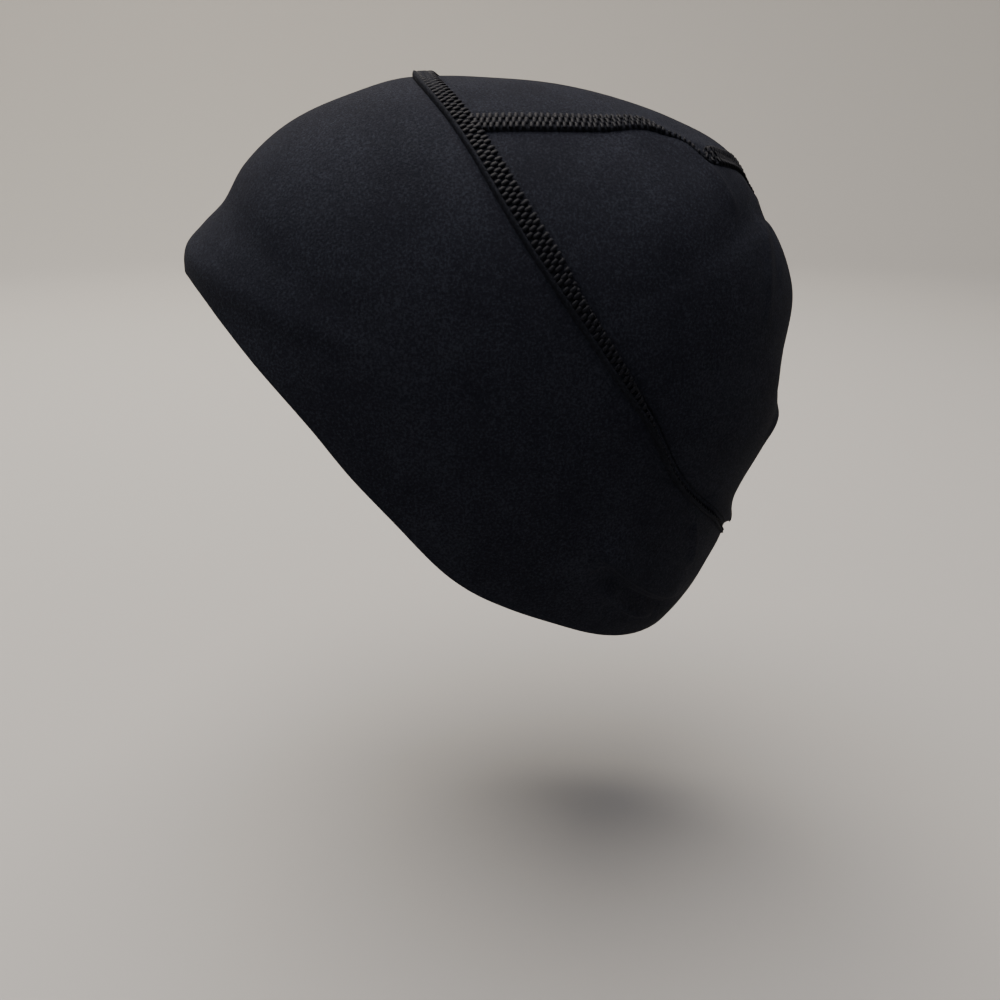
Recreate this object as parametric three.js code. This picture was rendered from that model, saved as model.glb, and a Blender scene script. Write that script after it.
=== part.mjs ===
// Stretch skull cap in its worn form: a doubled wrap band, a crown of three panels, raised flat seams.
// Millimetres. X is the wearer's left, Y the back of the head and Z up.
// The origin is the inside of the cap where the top of the head touches it.
import * as THREE from 'three';

// Driving dimensions
const CAP_LENGTH = 209; // forehead to the back of the crown, outside
const CAP_WIDTH = 156; // over the ears, outside
const CROWN_RISE = 87; // ear axis to the top, outside
const NAPE_REACH = 130; // ear axis down to the circle that the nape lies on
const AXIS_BACK = 20; // ear axis behind the origin
const STRIP_FRONT = 96; // centre strip across its front end
const STRIP_BACK = 36; // centre strip across its end at the nape
const BAND_WALL = 2; // two layers of jersey
const CROWN_WALL = 1.4; // one layer of jersey, with its seam allowance
const SEAM_WIDTH = 7;
const SEAM_HEIGHT = 1.3;
const FOLD_SPREAD = 10; // half-width of a soft fold across its crest
const FOLD_RISE = 3; // height of the tallest soft fold
const SINK_DEPTH = 2; // how deep the crown seams lie between the bulges of the back
const SINK_SPREAD = 6; // half-width of that valley
const CLEARANCE = 0.3; // between neighbouring pieces
const SEAM_LIFT = 0.45; // under a flat seam, where the curved cloth comes nearest
const TIP_CUT = 1.2; // blunt tips of the side panels
const FRONT_HEM_TURN = 166; // degrees round the ear axis: 0 is back, 90 is up, 180 is front
const BACK_HEM_TURN = -55;
const FRONT_SEAM_TURN = 103;
const BACK_SEAM_TURN = -37.5;

// Mesh density
const LOOP_STEPS = 84;
const SEAM_LOOP_STEPS = 101;
const BAND_ROWS = 10;
const HEM_STEPS = 3;
const PANEL_STEPS = 36;
const STRIP_COLUMNS = 10;
const SIDE_COLUMNS = 10;
const SEAM_STEP = 4.5;
const SLANT_STEPS = 5; // sections over which a crown seam's end turns into the slant of the band seam

// Laps of the loops round the head: a whole lap is 1
const FRONT_MIDDLE = 0;
const LEFT_SIDE = 0.25;
const BACK_MIDDLE = 0.5;

// Steps of the searches and probes
const HALVINGS = 40;
const AIMINGS = 20;
const NORMAL_PROBE = 0.004; // sideways, on a direction of length one
const RUN_PROBE = 0.002; // along a seam line
const END_PROBE = 0.01; // along a crown seam, from either end
const MIDWAY = 0.5; // along a crown seam

// Middle outline from the side: share of the plain ellipse at each turn round the ear axis
const OUTLINE = [
  { turn: -170, share: 1.02 },
  { turn: -150, share: 0.99 },
  { turn: -125, share: 0.96 },
  { turn: -95, share: 0.99 },
  { turn: -75, share: 1.025 },
  { turn: -60, share: 1.035 },
  { turn: -50, share: 1.021 },
  { turn: -42, share: 0.996 },
  { turn: -34, share: 0.972 },
  { turn: -26, share: 0.974 },
  { turn: -15, share: 0.999 },
  { turn: -6, share: 1.002 },
  { turn: 2, share: 0.995 },
  { turn: 12, share: 1.018 },
  { turn: 24, share: 1.041 },
  { turn: 28.5, share: 1.034 },
  { turn: 35, share: 1.053 },
  { turn: 41, share: 1.053 },
  { turn: 50, share: 1.027 },
  { turn: 62, share: 1.001 },
  { turn: 76, share: 0.987 },
  { turn: 88, share: 0.984 },
  { turn: 98, share: 0.997 },
  { turn: 108, share: 1.016 },
  { turn: 118, share: 1.018 },
  { turn: 132, share: 1.031 },
  { turn: 143, share: 1.022 },
  { turn: 151, share: 1 },
  { turn: 157, share: 1.023 },
  { turn: 161.5, share: 1.043 },
  { turn: 168, share: 1.012 },
  { turn: 178, share: 1.02 },
];

// Fullness of the arch from ear to ear at each turn: its power, 2 being an ellipse
const FULLNESS = [
  { turn: -90, power: 2.12 },
  { turn: 0, power: 2.3 },
  { turn: 90, power: 2.25 },
  { turn: 180, power: 2.1 },
];

// Hem and band seam from the side: sideways bow from the straight line, front to back, as shares of it
const HEM_BOW = [
  { along: 0, bow: 0 },
  { along: 0.03, bow: 0.018 },
  { along: 0.1, bow: 0.019 },
  { along: 0.19, bow: 0.0085 },
  { along: 0.29, bow: -0.0095 },
  { along: 0.38, bow: -0.035 },
  { along: 0.47, bow: -0.056 },
  { along: 0.57, bow: -0.0815 },
  { along: 0.63, bow: -0.087 },
  { along: 0.69, bow: -0.0815 },
  { along: 0.77, bow: -0.069 },
  { along: 0.87, bow: -0.056 },
  { along: 0.93, bow: -0.038 },
  { along: 1, bow: 0 },
];
const BAND_SEAM_BOW = [
  { along: 0, bow: 0 },
  { along: 0.05, bow: 0.0115 },
  { along: 0.1, bow: 0.019 },
  { along: 0.16, bow: 0.021 },
  { along: 0.22, bow: 0.019 },
  { along: 0.3, bow: 0.0168 },
  { along: 0.4, bow: 0.0175 },
  { along: 0.47, bow: 0.018 },
  { along: 0.54, bow: 0.0178 },
  { along: 0.6, bow: 0.0185 },
  { along: 0.645, bow: 0.017 },
  { along: 0.69, bow: 0.01 },
  { along: 0.74, bow: 0.0025 },
  { along: 0.79, bow: 0.001 },
  { along: 0.84, bow: 0.006 },
  { along: 0.89, bow: 0.0115 },
  { along: 0.94, bow: 0.009 },
  { along: 1, bow: 0 },
];

// Crown seams: how far their spread has passed from the front width to the back width
const CROWN_SEAM_TAPER = [
  { along: 0, taper: 0 },
  { along: 0.07, taper: 0.032 },
  { along: 0.144, taper: 0.08 },
  { along: 0.215, taper: 0.185 },
  { along: 0.266, taper: 0.33 },
  { along: 0.3, taper: 0.425 },
  { along: 0.32, taper: 0.445 },
  { along: 0.34, taper: 0.46 },
  { along: 0.36, taper: 0.44 },
  { along: 0.38, taper: 0.395 },
  { along: 0.396, taper: 0.42 },
  { along: 0.415, taper: 0.6 },
  { along: 0.437, taper: 0.86 },
  { along: 0.46, taper: 1.04 },
  { along: 0.5, taper: 1.2 },
  { along: 0.64, taper: 1.25 },
  { along: 0.79, taper: 1.23 },
  { along: 0.905, taper: 1.12 },
  { along: 1, taper: 1 },
];

// Crown seams: how deep they lie at each share along them, as a share of SINK_DEPTH
const SEAM_SINK = [
  { along: 0, sink: 0 },
  { along: 0.25, sink: 0 },
  { along: 0.3, sink: 0.2 },
  { along: 0.35, sink: 0.4 },
  { along: 0.39, sink: 0.45 },
  { along: 0.42, sink: 0.7 },
  { along: 0.45, sink: 1 },
  { along: 0.5, sink: 1.2 },
  { along: 0.85, sink: 1.2 },
  { along: 0.95, sink: 0.5 },
  { along: 1, sink: 0 },
];

// Soft folds: each end as a turn round the ear axis and a share of the half-width towards the left
// ear, on the left side alone or mirrored on both sides, with its spread and rise as shares of
// FOLD_SPREAD and FOLD_RISE; a negative rise is a dent
const FOLDS = [
  { turnA: 56, outA: 0.5, turnB: 44, outB: 0.44, sides: 1, spread: 0.7, rise: 0.5 },
  { turnA: 24, outA: 0, turnB: 25, outB: 0.3, sides: 1, spread: 1, rise: -0.35 },
  { turnA: 12, outA: -0.1, turnB: 10, outB: 0.25, sides: 1, spread: 1.2, rise: 0.4 },
  { turnA: -4, outA: -0.1, turnB: -5, outB: 0.3, sides: 1, spread: 1.1, rise: -0.4 },
  { turnA: -14, outA: -0.1, turnB: -15, outB: 0.2, sides: 1, spread: 1, rise: 0.3 },
  { turnA: -29, outA: -0.1, turnB: -28, outB: 0.3, sides: 1, spread: 1, rise: -0.3 },
  { turnA: -38, outA: -0.1, turnB: -37, outB: 0.3, sides: 1, spread: 1, rise: 0.3 },
  { turnA: -56, outA: 0.87, turnB: -51, outB: 0.56, sides: 2, spread: 0.5, rise: 0.4 },
  { turnA: -60, outA: 0.74, turnB: -55, outB: 0.58, sides: 2, spread: 0.6, rise: -0.45 },
];

const HALF_WIDTH = CAP_WIDTH / 2;
const radians = THREE.MathUtils.degToRad;
const degrees = THREE.MathUtils.radToDeg;

// Smooth value of a column between the rows of a table, repeated over the period if there is one
function readTable(rows, key, column, at, period = 0) {
  const count = rows.length;
  const row = (index) => {
    if (!period) return { at: rows[index][key], value: rows[index][column] };
    const lap = Math.floor(index / count);
    const source = rows[index - lap * count];
    return { at: source[key] + lap * period, value: source[column] };
  };
  let place = at;
  if (period) place = rows[0][key] + THREE.MathUtils.euclideanModulo(at - rows[0][key], period);
  let index = 0;
  while (index < count - (period ? 1 : 2) && row(index + 1).at <= place) index += 1;
  const slope = (middle) => {
    const before = period ? row(middle - 1) : row(Math.max(middle - 1, 0));
    const after = period ? row(middle + 1) : row(Math.min(middle + 1, count - 1));
    return (after.value - before.value) / (after.at - before.at);
  };
  const low = row(index);
  const high = row(index + 1);
  const gap = high.at - low.at;
  const t = (place - low.at) / gap;
  const rise = slope(index) * gap;
  const fall = slope(index + 1) * gap;
  const bend = low.value - high.value;
  return low.value + t * (rise + t * (-3 * bend - 2 * rise - fall + t * (2 * bend + rise + fall)));
}

// Distance from the ear axis to the middle outline, along a turn in radians
function outlineRadius(turn) {
  const reach = Math.sin(turn) > 0 ? CROWN_RISE : NAPE_REACH;
  const ellipse = 1 / Math.hypot(Math.cos(turn) / (CAP_LENGTH / 2), Math.sin(turn) / reach);
  return ellipse * readTable(OUTLINE, 'turn', 'share', degrees(turn), 360);
}

// Each half-plane through the ear axis holds an arch |x / half-width|^p + (r / outline)^p = 1
const archPower = (turn) => readTable(FULLNESS, 'turn', 'power', degrees(turn), 360);

function baseRadius(direction) {
  const turn = Math.atan2(direction.z, direction.y);
  const power = archPower(turn);
  const across = Math.abs(direction.x) / HALF_WIDTH;
  const along = Math.hypot(direction.y, direction.z) / outlineRadius(turn);
  return Math.pow(across ** power + along ** power, -1 / power);
}

// Direction to the cloth at a turn in radians and a signed share of the half-width
function directionAt(turn, out) {
  const power = archPower(turn);
  const radius = outlineRadius(turn) * Math.pow(1 - Math.abs(out) ** power, 1 / power);
  const point = new THREE.Vector3(out * HALF_WIDTH, Math.cos(turn) * radius, Math.sin(turn) * radius);
  return point.normalize();
}

const basePoint = (direction) => direction.clone().multiplyScalar(baseRadius(direction));

const foldEnd = (turn, out) => basePoint(directionAt(radians(turn), out));

const foldCrests = FOLDS.flatMap((fold) =>
  [1, -1].slice(0, fold.sides).map((side) => ({
    crest: new THREE.Line3(foldEnd(fold.turnA, side * fold.outA), foldEnd(fold.turnB, side * fold.outB)),
    spread: fold.spread * FOLD_SPREAD,
    rise: fold.rise * FOLD_RISE,
  })),
);

// Height of all folds together at a point: a bell across each crest
function foldHeight(point) {
  const nearest = new THREE.Vector3();
  let height = 0;
  for (const { crest, spread, rise } of foldCrests) {
    crest.closestPointToPoint(point, true, nearest);
    height += rise * Math.exp(-((point.distanceTo(nearest) / spread) ** 2));
  }
  return height;
}

// Depth of the valley along a crown seam at a point: a bell of the way to the seam
function seamSink(point) {
  const along = (frontJoinTurn - turnOf(point)) / (frontJoinTurn - backJoinTurn);
  if (along <= 0 || along >= 1) return 0;
  const away = Math.abs(point.x) - stripOut(along) * HALF_WIDTH;
  const depth = SINK_DEPTH * readTable(SEAM_SINK, 'along', 'sink', along);
  return depth * Math.exp(-((away / SINK_SPREAD) ** 2));
}

// Outer face of the cloth in a direction
function outerPoint(direction) {
  const point = basePoint(direction);
  return point.addScaledVector(direction, foldHeight(point) - seamSink(point));
}

// Outward normal of the cloth, from two short steps across the direction
function clothNormal(direction) {
  const helper = Math.abs(direction.x) < 0.9 ? new THREE.Vector3(1, 0, 0) : new THREE.Vector3(0, 1, 0);
  const first = new THREE.Vector3().crossVectors(direction, helper).normalize();
  const second = new THREE.Vector3().crossVectors(direction, first);
  const probe = (axis, sign) => {
    const beside = direction.clone().addScaledVector(axis, sign * NORMAL_PROBE);
    return outerPoint(beside.normalize());
  };
  const alongFirst = probe(first, 1).sub(probe(first, -1));
  const alongSecond = probe(second, 1).sub(probe(second, -1));
  return alongFirst.cross(alongSecond).normalize();
}

// Point on the cloth in a direction, lifted off its outer face or sunk below it
function clothPoint(direction, lift) {
  return outerPoint(direction).addScaledVector(clothNormal(direction), lift);
}

const mixDirections = (from, to, share) => from.clone().lerp(to, share).normalize();
const spanBetween = (from, to) => outerPoint(from).distanceTo(outerPoint(to));

// Seam line that loops round the head: a lap of 0 is the front middle, a half is the back middle,
// and laps between them run over the left side
function sideLoop(frontTurn, backTurn, bows) {
  const at = (turn) => {
    const place = new THREE.Vector2(Math.cos(turn), Math.sin(turn));
    return place.multiplyScalar(outlineRadius(turn));
  };
  const front = at(radians(frontTurn));
  const chord = at(radians(backTurn)).sub(front);
  const sideways = new THREE.Vector2(-chord.y, chord.x);
  return (lap) => {
    const angle = lap * 2 * Math.PI;
    const along = (1 - Math.cos(angle)) / 2;
    const bow = readTable(bows, 'along', 'bow', along);
    const point = front.clone().addScaledVector(chord, along).addScaledVector(sideways, bow);
    const turn = Math.atan2(point.y, point.x);
    const power = archPower(turn);
    const inside = Math.max(1 - (point.length() / outlineRadius(turn)) ** power, 0);
    const out = Math.sign(Math.sin(angle)) * HALF_WIDTH * inside ** (1 / power);
    return new THREE.Vector3(out, point.x, point.y).normalize();
  };
}

const hemLine = sideLoop(FRONT_HEM_TURN, BACK_HEM_TURN, HEM_BOW);
const bandSeamLine = sideLoop(FRONT_SEAM_TURN, BACK_SEAM_TURN, BAND_SEAM_BOW);

const turnOf = (direction) => Math.atan2(direction.z, direction.y);
const outOf = (direction) => basePoint(direction).x / HALF_WIDTH;

// Lap between two laps of the band seam at which it lies a share of the half-width to the left
function lapAtOut(out, nearLap, farLap) {
  let near = nearLap;
  let far = farLap;
  for (let halving = 0; halving < HALVINGS; halving += 1) {
    const middle = (near + far) / 2;
    if (outOf(bandSeamLine(middle)) < out) near = middle;
    else far = middle;
  }
  return (near + far) / 2;
}

const FRONT_OUT = STRIP_FRONT / 2 / HALF_WIDTH;
const BACK_OUT = STRIP_BACK / 2 / HALF_WIDTH;
const FRONT_LAP = lapAtOut(FRONT_OUT, FRONT_MIDDLE, LEFT_SIDE);
const BACK_LAP = lapAtOut(BACK_OUT, BACK_MIDDLE, LEFT_SIDE);
const frontJoinTurn = turnOf(bandSeamLine(FRONT_LAP));
const backJoinTurn = turnOf(bandSeamLine(BACK_LAP));

// Half the spread of the centre strip, as a share of the half-width
function stripOut(along) {
  return THREE.MathUtils.lerp(FRONT_OUT, BACK_OUT, readTable(CROWN_SEAM_TAPER, 'along', 'taper', along));
}

const stripTurn = (along) => THREE.MathUtils.lerp(frontJoinTurn, backJoinTurn, along);

// Crown seam line on one side, from its front join to its back join
function crownSeamLine(side) {
  return (along) => directionAt(stripTurn(along), side * stripOut(along));
}

// Turn of the band seam where it lies a share of the half-width from the middle, in front or behind
function bandSeamTurn(out, middleLap) {
  return turnOf(bandSeamLine(lapAtOut(Math.abs(out), middleLap, LEFT_SIDE)));
}

// Direction in the centre strip: across from -1 to 1 and along from front to back, with both ends
// swelling to the band seam
function stripDirection(across, along) {
  const frontSwell = bandSeamTurn(across * FRONT_OUT, FRONT_MIDDLE) - frontJoinTurn;
  const backSwell = bandSeamTurn(across * BACK_OUT, BACK_MIDDLE) - backJoinTurn;
  const turn = stripTurn(along) + frontSwell * (1 - along) ** 2 + backSwell * along ** 2;
  return directionAt(turn, across * stripOut(along));
}

// Closed solid from rings of points: joined end to end, or with both end rings filled
function loftSolid(name, rings, material, looped) {
  const size = rings[0].length;
  const positions = rings.flat().flatMap((point) => [point.x, point.y, point.z]);
  const triangles = [];
  const addQuad = (a, b, c, d) => triangles.push([a, b, c], [a, c, d]);
  const spans = looped ? rings.length : rings.length - 1;
  for (let ring = 0; ring < spans; ring += 1) {
    const here = ring * size;
    const next = ((ring + 1) % rings.length) * size;
    for (let k = 0; k < size; k += 1) {
      const after = (k + 1) % size;
      addQuad(here + k, here + after, next + after, next + k);
    }
  }
  if (!looped) {
    const last = (rings.length - 1) * size;
    for (let k = 0; k < size / 2 - 1; k += 1) {
      addQuad(k, size - 1 - k, size - 2 - k, k + 1);
      addQuad(last + k, last + k + 1, last + size - 2 - k, last + size - 1 - k);
    }
  }
  return finishMesh(name, positions, triangles, material);
}

// Mesh whose faces point out, whichever way round its rings ran
function finishMesh(name, positions, triangles, material) {
  const corner = (index) => new THREE.Vector3().fromArray(positions, index * 3);
  const volume = triangles.reduce((sum, [a, b, c]) => sum + corner(a).dot(corner(b).cross(corner(c))), 0);
  const outward = volume > 0 ? triangles : triangles.map(([a, b, c]) => [a, c, b]);
  const geometry = new THREE.BufferGeometry();
  geometry.setAttribute('position', new THREE.Float32BufferAttribute(positions, 3));
  geometry.setIndex(outward.flat());
  geometry.computeVertexNormals();
  const mesh = new THREE.Mesh(geometry, material);
  mesh.name = name;
  return mesh;
}

// Ring round the edge of a cloth panel: outer face one way, inner face back
function panelRing(directions, wall) {
  const outer = directions.map((direction) => clothPoint(direction, 0));
  const inner = directions.map((direction) => clothPoint(direction, -wall));
  return [...outer, ...inner.reverse()];
}

// Band section at a lap: outer face down from the seam, a rounded fold at the hem, inner face back up
function bandRing(lap) {
  const top = bandSeamLine(lap);
  const hem = hemLine(lap);
  const height = spanBetween(top, hem);
  const radius = BAND_WALL / 2;
  const first = CLEARANCE / 2 / height;
  const last = 1 - radius / height;
  const directions = [];
  for (let row = 0; row <= BAND_ROWS; row += 1) {
    directions.push(mixDirections(top, hem, THREE.MathUtils.lerp(first, last, row / BAND_ROWS)));
  }
  const edge = directions[BAND_ROWS];
  const foot = clothPoint(edge, -radius);
  const outward = clothNormal(edge);
  const downward = outerPoint(edge).sub(outerPoint(directions[BAND_ROWS - 1])).normalize();
  const fold = [];
  for (let step = 1; step <= HEM_STEPS; step += 1) {
    const angle = (Math.PI * step) / (HEM_STEPS + 1);
    const point = foot.clone().addScaledVector(outward, radius * Math.cos(angle));
    fold.push(point.addScaledVector(downward, radius * Math.sin(angle)));
  }
  const ring = panelRing(directions, BAND_WALL);
  return [...ring.slice(0, BAND_ROWS + 1), ...fold, ...ring.slice(BAND_ROWS + 1)];
}

function makeBand(material) {
  const rings = [];
  for (let step = 0; step < LOOP_STEPS; step += 1) rings.push(bandRing(step / LOOP_STEPS));
  return loftSolid('band', rings, material, true);
}

function makeCrownCentre(material) {
  const length = spanBetween(stripDirection(0, 0), stripDirection(0, MIDWAY)) / MIDWAY;
  const endGap = CLEARANCE / length;
  const rings = [];
  for (let step = 0; step <= PANEL_STEPS; step += 1) {
    const along = THREE.MathUtils.lerp(endGap, 1 - endGap, step / PANEL_STEPS);
    const edge = 1 - CLEARANCE / 2 / (stripOut(along) * HALF_WIDTH);
    const directions = [];
    for (let column = 0; column <= STRIP_COLUMNS; column += 1) {
      directions.push(stripDirection(edge * ((2 * column) / STRIP_COLUMNS - 1), along));
    }
    rings.push(panelRing(directions, CROWN_WALL));
  }
  return loftSolid('crown_centre', rings, material, false);
}

// Side panel: a leaf between the crown seam above and the band seam below, blunt at both tips
function makeCrownSide(name, side, material) {
  const upper = crownSeamLine(side);
  const tip = TIP_CUT / seamRun(upper, MIDWAY).pace;
  const rings = [];
  for (let step = 0; step <= PANEL_STEPS; step += 1) {
    const along = THREE.MathUtils.lerp(tip, 1 - tip, step / PANEL_STEPS);
    const top = upper(along);
    const bottom = bandSeamLine(side * THREE.MathUtils.lerp(FRONT_LAP, BACK_LAP, along));
    const edge = CLEARANCE / 2 / spanBetween(top, bottom);
    const directions = [];
    for (let column = 0; column <= SIDE_COLUMNS; column += 1) {
      const share = THREE.MathUtils.lerp(edge, 1 - edge, column / SIDE_COLUMNS);
      directions.push(mixDirections(top, bottom, share));
    }
    rings.push(panelRing(directions, CROWN_WALL));
  }
  return loftSolid(name, rings, material, false);
}

// Flat seam section: a low rounded top over a flat foot, as shares of its half-width and height
const SEAM_PROFILE = [
  { out: -0.95, rise: 0.35 },
  { out: -0.55, rise: 1 },
  { out: 0.55, rise: 1 },
  { out: 0.95, rise: 0.35 },
  { out: 0.9, rise: 0 },
  { out: -0.9, rise: 0 },
];

// Run of a seam line at a place: its direction and its millimetres for each unit along
function seamRun(line, along) {
  const forward = outerPoint(line(along + RUN_PROBE)).sub(outerPoint(line(along - RUN_PROBE)));
  const pace = forward.length() / (2 * RUN_PROBE);
  return { forward: forward.normalize(), pace };
}

// Section across a seam line, which follows the cloth under it; the shear slants an end section
function seamRing(line, along, shear = 0) {
  const { forward, pace } = seamRun(line, along);
  const across = forward.cross(clothNormal(line(along))).normalize();
  return SEAM_PROFILE.map(({ out, rise }) => {
    const offset = (out * SEAM_WIDTH) / 2;
    const place = outerPoint(line(along + (shear * offset) / pace));
    const direction = place.addScaledVector(across, offset).normalize();
    return clothPoint(direction, SEAM_LIFT + rise * SEAM_HEIGHT);
  });
}

function makeBandSeam(material) {
  const rings = [];
  for (let step = 0; step < SEAM_LOOP_STEPS; step += 1) {
    rings.push(seamRing(bandSeamLine, step / SEAM_LOOP_STEPS));
  }
  return loftSolid('band_seam', rings, material, true);
}

// End of a crown seam: how far it stops short of the band seam's line, and the slant of its last section
function crownSeamEnd(line, along, lap) {
  const crown = seamRun(line, along);
  const band = seamRun(bandSeamLine, lap);
  const across = crown.forward.clone().cross(clothNormal(line(along))).normalize();
  const crossing = band.forward.dot(across);
  return {
    short: (SEAM_WIDTH / 2 + CLEARANCE) / Math.abs(crossing) / crown.pace,
    slant: band.forward.dot(crown.forward) / crossing,
  };
}

// Crown seam, stopped clear of the band seam at both ends, its end sections slanted along it
function makeCrownSeam(name, side, material) {
  const line = crownSeamLine(side);
  const front = crownSeamEnd(line, END_PROBE, side * FRONT_LAP);
  const back = crownSeamEnd(line, 1 - END_PROBE, side * BACK_LAP);
  const steps = Math.round(seamRun(line, MIDWAY).pace / SEAM_STEP);
  const rings = [];
  for (let step = 0; step <= steps; step += 1) {
    const along = THREE.MathUtils.lerp(front.short, 1 - back.short, step / steps);
    const nearFront = Math.max(1 - step / SLANT_STEPS, 0);
    const nearBack = Math.max(1 - (steps - step) / SLANT_STEPS, 0);
    rings.push(seamRing(line, along, front.slant * nearFront + back.slant * nearBack));
  }
  return loftSolid(name, rings, material, false);
}

// Matt jersey: near black, a little lighter on the stretched crown and darker in the thick seams
const BAND_COLOUR = 0x1b1d28;
const STRIP_COLOUR = 0x23252d;
const SIDE_COLOUR = 0x1d1f2a;
const SEAM_COLOUR = 0x14151b;
const JERSEY_ROUGHNESS = 0.92;

function makeCloth(color) {
  const finish = { roughness: JERSEY_ROUGHNESS, metalness: 0, side: THREE.DoubleSide };
  return new THREE.MeshStandardMaterial({ color, ...finish });
}

const cap = new THREE.Group();
cap.name = 'skull_cap';
cap.add(makeBand(makeCloth(BAND_COLOUR)));
cap.add(makeCrownCentre(makeCloth(STRIP_COLOUR)));
cap.add(makeCrownSide('crown_side_left', 1, makeCloth(SIDE_COLOUR)));
cap.add(makeCrownSide('crown_side_right', -1, makeCloth(SIDE_COLOUR)));
cap.add(makeBandSeam(makeCloth(SEAM_COLOUR)));
cap.add(makeCrownSeam('crown_seam_left', 1, makeCloth(SEAM_COLOUR)));
cap.add(makeCrownSeam('crown_seam_right', -1, makeCloth(SEAM_COLOUR)));

// The origin sits on the inner face of the band, ahead of the ear axis
function axisDepth() {
  let turn = Math.PI / 2;
  for (let aiming = 0; aiming < AIMINGS; aiming += 1) turn = Math.acos(-AXIS_BACK / outlineRadius(turn));
  return outlineRadius(turn) * Math.sin(turn) - BAND_WALL;
}

cap.position.set(0, AXIS_BACK, -axisDepth());

export default cap;
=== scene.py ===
# %% [markdown]
# This notebook dresses a stretch skull cap in its cloth, seams and thread.
# The real cap is cut from a thin, matt polyester and elastane jersey: a wrap band of two layers
# over forehead, ears and nape, and a crown of one layer in three panels.
# Raised flat seams join the pieces.
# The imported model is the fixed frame, and every piece made here stays where its solid is.

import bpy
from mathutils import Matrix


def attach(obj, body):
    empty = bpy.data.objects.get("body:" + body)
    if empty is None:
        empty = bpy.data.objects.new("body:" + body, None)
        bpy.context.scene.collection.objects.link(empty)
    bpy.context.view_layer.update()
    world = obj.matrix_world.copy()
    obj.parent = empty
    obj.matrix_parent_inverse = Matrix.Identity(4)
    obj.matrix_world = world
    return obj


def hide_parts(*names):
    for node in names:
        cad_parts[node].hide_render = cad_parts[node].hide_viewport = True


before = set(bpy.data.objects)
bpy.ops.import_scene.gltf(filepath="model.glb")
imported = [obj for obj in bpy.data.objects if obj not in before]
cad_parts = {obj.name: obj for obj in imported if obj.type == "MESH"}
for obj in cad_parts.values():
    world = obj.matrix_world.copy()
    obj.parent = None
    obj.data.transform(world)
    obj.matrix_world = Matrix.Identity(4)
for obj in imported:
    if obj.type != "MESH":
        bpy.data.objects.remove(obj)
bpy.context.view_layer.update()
print("solids:", ", ".join(sorted(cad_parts)))

import bpy
import numpy as np
from mathutils import Vector

# %% [markdown]
# A worn cap is drawn tight, so its cloth is best written as one smooth form with a few numbers.
# The form is a radius for each direction from the middle of the ear axis: the middle outline gives
# the height in the side view, and a superellipse arch carries it over from ear to ear.
# A sculpted mesh would be quicker to push about, but a formula lets the panels, the seams and the
# stitches all find the same surface, so that nothing floats or sinks.

# %% Sizes of the cap, in metres and degrees
MM = 0.001
CAP_LENGTH = 209 * MM
CAP_WIDTH = 156 * MM
CROWN_RISE = 87 * MM
NAPE_REACH = 130 * MM
AXIS_BACK = 20 * MM
STRIP_FRONT = 96 * MM
STRIP_BACK = 36 * MM
BAND_WALL = 2 * MM
CROWN_WALL = 1.4 * MM
SEAM_WIDTH = 7 * MM
SEAM_HEIGHT = 1.75 * MM
FOLD_SPREAD = 10 * MM
FOLD_RISE = 3 * MM
FRONT_HEM_TURN = 166
BACK_HEM_TURN = -55
FRONT_SEAM_TURN = 103
BACK_SEAM_TURN = -37.5
HALF_WIDTH = CAP_WIDTH / 2
print("form:", round(CAP_LENGTH / MM), "mm long and", round(CAP_WIDTH / MM), "mm wide before the folds")


# %% Tables with named columns
def table(columns, rows):
    """The rows as one array for each named column."""
    return dict(zip(columns.split(), np.array(rows, float).T))


def read_table(rows, key, column, at, period=None):
    """Cubic Hermite curve through the rows: the slope at a row is that between its two neighbours."""
    place, value = rows[key], rows[column]
    at = np.asarray(at, float)
    if period:
        at = place[0] + np.mod(at - place[0], period)
        place = np.concatenate([place[-2:] - period, place, place[:2] + period])
        value = np.concatenate([value[-2:], value, value[:2]])
    slope = np.gradient(value)
    slope[1:-1] = (value[2:] - value[:-2]) / (place[2:] - place[:-2])
    slope[0] = (value[1] - value[0]) / (place[1] - place[0])
    slope[-1] = (value[-1] - value[-2]) / (place[-1] - place[-2])
    low = np.clip(np.searchsorted(place, at, side="right") - 1, 0, len(place) - 2)
    gap = place[low + 1] - place[low]
    t = (at - place[low]) / gap
    rise, fall = slope[low] * gap, slope[low + 1] * gap
    bend = value[low] - value[low + 1]
    return value[low] + t * (rise + t * (-3 * bend - 2 * rise - fall + t * (2 * bend + rise + fall)))


# %% Middle outline and arch: shares of a plain ellipse, and the power of the arch
OUTLINE = table("turn share", [
    (-170, 1.02), (-150, 0.99), (-125, 0.96), (-95, 0.99), (-75, 1.025), (-60, 1.035), (-50, 1.021),
    (-42, 0.996), (-34, 0.972), (-26, 0.974), (-15, 0.999), (-6, 1.002), (2, 0.995), (12, 1.018),
    (24, 1.041), (28.5, 1.034), (35, 1.053), (41, 1.053), (50, 1.027), (62, 1.001), (76, 0.987),
    (88, 0.984), (98, 0.997), (108, 1.016), (118, 1.018), (132, 1.031), (143, 1.022), (151, 1),
    (157, 1.023), (161.5, 1.043), (168, 1.012), (178, 1.02),
])
FULLNESS = table("turn power", [(-90, 2.12), (0, 2.3), (90, 2.25), (180, 2.1)])


def outline_radius(turn):
    """Distance from the ear axis to the middle outline: a plain ellipse times the table's share."""
    reach = np.where(np.sin(turn) > 0, CROWN_RISE, NAPE_REACH)
    ellipse = 1 / np.hypot(np.cos(turn) / (CAP_LENGTH / 2), np.sin(turn) / reach)
    return ellipse * read_table(OUTLINE, "turn", "share", np.degrees(turn), 360)


def arch_power(turn):
    """Power of the arch from ear to ear; 2 is an ellipse and more is squarer."""
    return read_table(FULLNESS, "turn", "power", np.degrees(turn), 360)


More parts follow.
